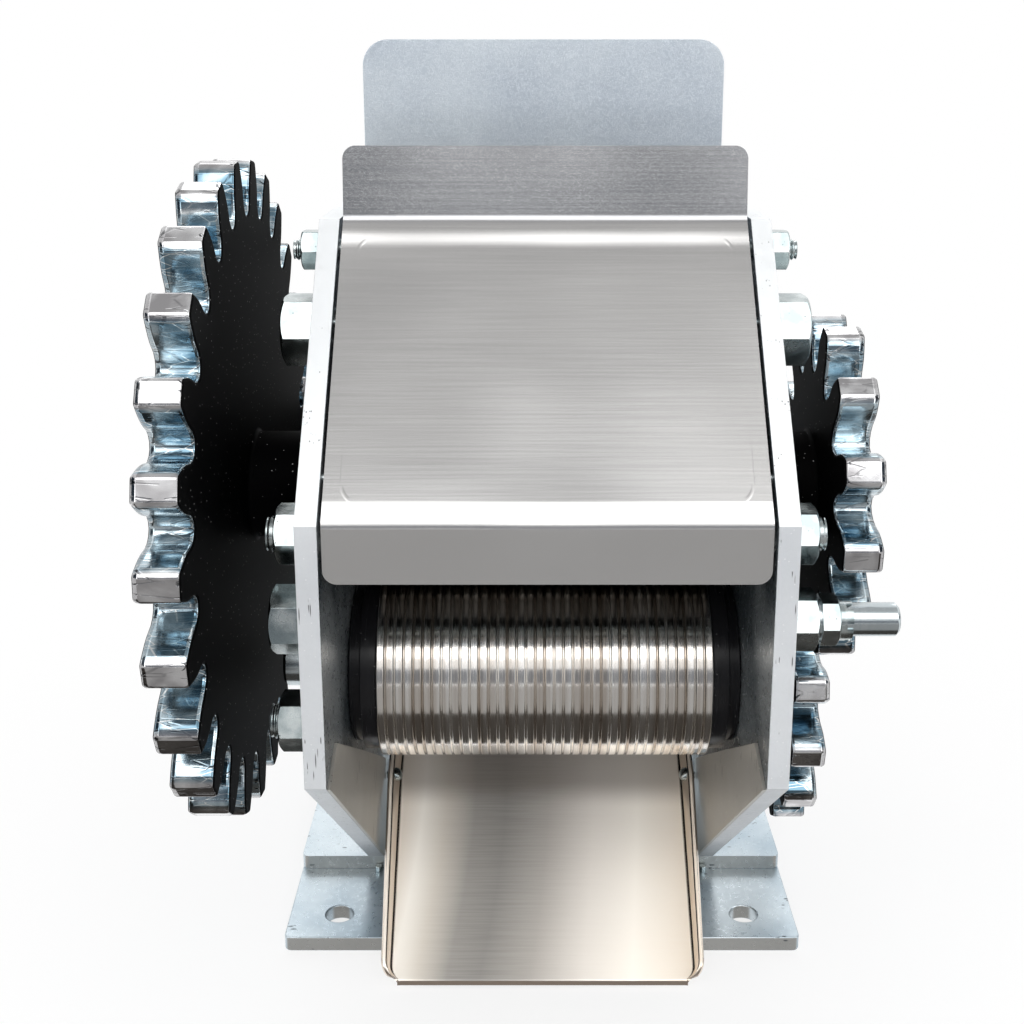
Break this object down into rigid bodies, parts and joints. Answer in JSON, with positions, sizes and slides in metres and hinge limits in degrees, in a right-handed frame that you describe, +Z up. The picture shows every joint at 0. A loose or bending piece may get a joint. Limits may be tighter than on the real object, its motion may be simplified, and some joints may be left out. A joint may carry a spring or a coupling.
{
  "type": "manual sugarcane juicer",
  "caption": "Bench cane mill: two thick side plates carry three grooved rollers driven by cast gears, under a folded cover with a feed opening, above a sloped juice tray.",
  "frame": {"origin": "on the ground, midway between the side plates, under the front foot", "axes": "+Z up, the front with the juice tray faces -Y, +X towards the two smaller gears"},
  "size_m": [0.332, 0.4451, 0.495],
  "materials": {
    "plate_steel": "zinc plated plate with a fine grain",
    "zinc": "bright zinc plated",
    "stainless": "brushed stainless sheet",
    "roller_steel": "polished turned grooves",
    "black_steel": "black satin",
    "gear_zinc": "bright zinc on the teeth, black on the faces",
    "shaft_steel": "ground bright",
    "nut_zinc": "bright zinc plated"
  },
  "bodies": {
    "frame": {"left_side_plate": "plate_steel", "right_side_plate": "plate_steel", "plate_gussets": "plate_steel", "base_plate": "zinc", "front_foot": "zinc", "rear_foot": "zinc", "base_bolts": "nut_zinc", "locating_studs": "nut_zinc", "cover": "stainless", "cover_pins": "nut_zinc", "rear_cover": "stainless", "feed_plate": "zinc", "feed_guide": "stainless", "juice_tray": "stainless", "tray_screws": "nut_zinc", "top_tie_rod": "nut_zinc", "top_rod_nuts": "nut_zinc", "heavy_tie_rod": "nut_zinc", "heavy_rod_caps": "nut_zinc", "long_tie_rods": "nut_zinc", "tie_rod_nuts": "nut_zinc", "lower_stud": "nut_zinc", "lower_stud_nut": "nut_zinc", "side_bolt": "nut_zinc", "axle_stub": "shaft_steel", "stub_inner_nut": "nut_zinc", "stub_outer_nut": "nut_zinc", "stub_lock_ring": "nut_zinc", "main_bearings": "black_steel", "shaft_bushes": "black_steel"},
    "main": {"main_shaft": "black_steel", "main_roller": "roller_steel", "main_collars": "black_steel", "bull_gear": "gear_zinc", "upper_gear": "gear_zinc", "main_keepers": "nut_zinc", "main_keeper_bolts": "nut_zinc"},
    "front": {"front_shaft": "shaft_steel", "front_roller": "roller_steel", "front_collars": "black_steel"},
    "rear": {"rear_shaft": "shaft_steel", "rear_roller": "roller_steel", "rear_collars": "black_steel", "lower_gear": "gear_zinc", "rear_keeper": "nut_zinc", "rear_keeper_bolt": "nut_zinc"},
    "crank": {"crank_shaft": "shaft_steel", "crank_pinion": "gear_zinc", "crank_keeper": "nut_zinc", "crank_keeper_bolt": "nut_zinc"}
  },
  "joints": [
    {"name": "main_turn", "type": "hinge", "parent": "frame", "child": "main", "pos_m": [0, -0.06, 0.282], "axis": [1, 0, 0], "continuous": true},
    {"name": "front_turn", "type": "hinge", "parent": "frame", "child": "front", "pos_m": [0, -0.06, 0.1877], "axis": [1, 0, 0], "continuous": true},
    {"name": "rear_turn", "type": "hinge", "parent": "frame", "child": "rear", "pos_m": [0, 0.03577, 0.15258], "axis": [1, 0, 0], "continuous": true},
    {"name": "crank_turn", "type": "hinge", "parent": "frame", "child": "crank", "pos_m": [0, 0.15047, 0.25092], "axis": [1, 0, 0], "continuous": true}
  ],
  "couplings": [
    {"joint": "front_turn", "follows": "main_turn", "ratio": -1},
    {"joint": "rear_turn", "follows": "main_turn", "ratio": -0.86667},
    {"joint": "crank_turn", "follows": "main_turn", "ratio": -2.3636}
  ]
}
